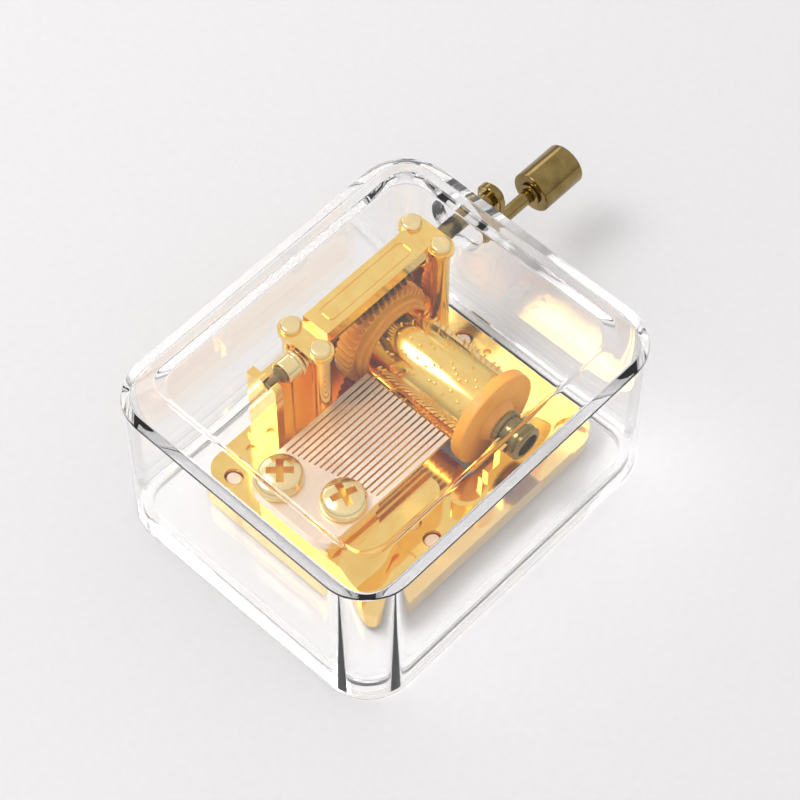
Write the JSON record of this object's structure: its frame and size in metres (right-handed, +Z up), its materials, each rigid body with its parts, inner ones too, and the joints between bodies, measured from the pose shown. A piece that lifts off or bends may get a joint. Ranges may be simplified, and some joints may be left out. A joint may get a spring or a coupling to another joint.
{
  "type": "cylinder music box",
  "caption": "Hand-cranked cylinder music box: comb, pinned cylinder and worm drive on a gilt bedplate inside a clear case, with a crank at one end.",
  "frame": {"origin": "centre of the case's underside", "axes": "+Z up, +X along the crank shaft towards the crank, +Y towards the worm wheel's side"},
  "size_m": [0.0852, 0.052, 0.0325],
  "materials": {
    "acrylic": "clear polished acrylic",
    "gold": "bright gilt plating",
    "pale_gold": "bright pale gilt",
    "brass": "polished brass, slightly dull",
    "steel": "ground spring steel",
    "amber": "translucent amber plastic",
    "lead": "dull lead"
  },
  "bodies": {
    "case": {"case_cover": "acrylic", "case_base": "acrylic", "mounting_screw_1": "steel", "mounting_screw_2": "steel", "mounting_screw_3": "steel", "bedplate": "gold", "worm_bridge": "gold", "bridge_rivet_1": "pale_gold", "bridge_rivet_2": "pale_gold", "bridge_rivet_3": "pale_gold", "bridge_rivet_4": "pale_gold", "comb": "steel", "comb_screw_1": "pale_gold", "comb_screw_2": "pale_gold", "tuning_weight_1": "lead", "tuning_weight_2": "lead", "tuning_weight_3": "lead", "tuning_weight_4": "lead", "front_bush": "brass", "rear_bush": "brass", "shaft_bush_front": "brass", "shaft_bush_rear": "brass"},
    "cylinder": {"cylinder_barrel": "gold", "cylinder_wheel": "amber", "cylinder_flange": "amber", "cylinder_arbor": "steel"},
    "crank": {"worm_shaft": "brass", "thrust_collar": "pale_gold", "crank_arm": "brass", "shaft_rivet": "brass", "crank_pin": "brass"},
    "knob": {"crank_knob": "brass", "knob_washer": "brass"}
  },
  "joints": [
    {"name": "crank_turn", "type": "hinge", "parent": "case", "child": "crank", "pos_m": [0, 0.0135, 0.021], "axis": [1, 0, 0], "continuous": true},
    {"name": "knob_spin", "type": "hinge", "parent": "crank", "child": "knob", "pos_m": [0.05, 0.0135, 0.0132], "axis": [1, 0, 0], "continuous": true},
    {"name": "cylinder_turn", "type": "hinge", "parent": "case", "child": "cylinder", "pos_m": [0.0124, 0, 0.0113], "axis": [0, 1, 0], "continuous": true}
  ],
  "couplings": [
    {"joint": "cylinder_turn", "follows": "crank_turn", "ratio": -0.02381}
  ]
}
